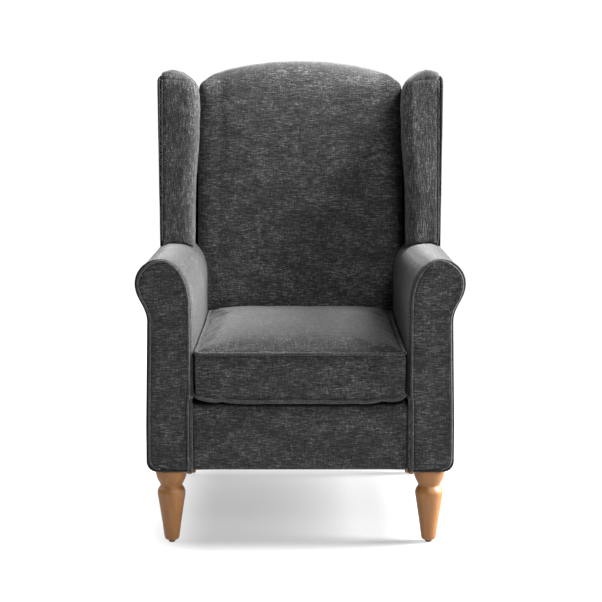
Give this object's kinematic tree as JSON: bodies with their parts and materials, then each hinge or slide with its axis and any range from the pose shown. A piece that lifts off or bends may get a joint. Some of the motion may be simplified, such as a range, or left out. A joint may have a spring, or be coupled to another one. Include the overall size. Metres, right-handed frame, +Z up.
{
  "type": "wingback armchair",
  "caption": "Wingback armchair with rolled arms, arched padded back, loose box seat cushion, plain front border, turned front legs and raked rear legs.",
  "frame": {"origin": "on the floor, under the centre of the chair's box", "axes": "+Z up, -Y towards the front, +X to the right as seen from the front"},
  "size_m": [0.73, 0.78, 1.078],
  "materials": {
    "fabric": "charcoal slub weave, matt",
    "leg_wood": "light beech, satin oil",
    "frame_wood": "unfinished sawn hardwood",
    "foam": "cut foam, matt",
    "webbing": "woven elastic webbing",
    "dust_cloth": "thin non-woven cloth",
    "steel": "plain steel",
    "nylon": "moulded nylon",
    "zip": "coil zip, dark"
  },
  "bodies": {
    "chair": {"arm_facing_left": "fabric", "arm_facing_right": "fabric", "arm_front_board_left": "frame_wood", "arm_front_board_right": "frame_wood", "arm_rail_left": "frame_wood", "arm_rail_right": "frame_wood", "arm_stuffing_rail_left": "frame_wood", "arm_stuffing_rail_right": "frame_wood", "back_post_left": "frame_wood", "back_post_right": "frame_wood", "back_top_rail": "frame_wood", "back_webbing_1": "webbing", "back_webbing_2": "webbing", "dust_cover": "dust_cloth", "front_border": "fabric", "front_corner_block_left": "frame_wood", "front_corner_block_right": "frame_wood", "front_glide_left": "nylon", "front_glide_right": "nylon", "front_leg_bolt_left": "steel", "front_leg_bolt_right": "steel", "front_leg_insert_left": "steel", "front_leg_insert_right": "steel", "front_leg_left": "leg_wood", "front_leg_right": "leg_wood", "front_rail": "frame_wood", "inside_arm_pad_left": "fabric", "inside_arm_pad_right": "fabric", "inside_back_pad": "fabric", "inside_wing_pad_left": "fabric", "inside_wing_pad_right": "fabric", "outside_arm_panel_left": "fabric", "outside_arm_panel_right": "fabric", "outside_back_panel": "fabric", "outside_wing_panel_left": "fabric", "outside_wing_panel_right": "fabric", "rear_corner_block_left": "frame_wood", "rear_corner_block_right": "frame_wood", "rear_glide_left": "nylon", "rear_glide_right": "nylon", "rear_leg_bolt_left": "steel", "rear_leg_bolt_right": "steel", "rear_leg_insert_left": "steel", "rear_leg_insert_right": "steel", "rear_leg_left": "leg_wood", "rear_leg_right": "leg_wood", "rear_rail": "frame_wood", "seat_deck": "fabric", "seat_spring_1": "steel", "seat_spring_2": "steel", "seat_spring_3": "steel", "seat_spring_4": "steel", "side_rail_left": "frame_wood", "side_rail_right": "frame_wood", "wing_board_left": "frame_wood", "wing_board_right": "frame_wood"},
    "seat_cushion": {"seat_cushion_cover": "fabric", "seat_cushion_core": "foam", "cushion_zip": "zip"},
    "slider": {"zip_slider": "zip"}
  },
  "joints": [
    {"name": "cushion_lift", "type": "slide", "parent": "chair", "child": "seat_cushion", "axis": [0, -0.9397, 0.342], "range_m": [0, 0.6]},
    {"name": "zip_slide", "type": "slide", "parent": "seat_cushion", "child": "slider", "axis": [1, 0, 0], "range_m": [0, 0.367]}
  ]
}
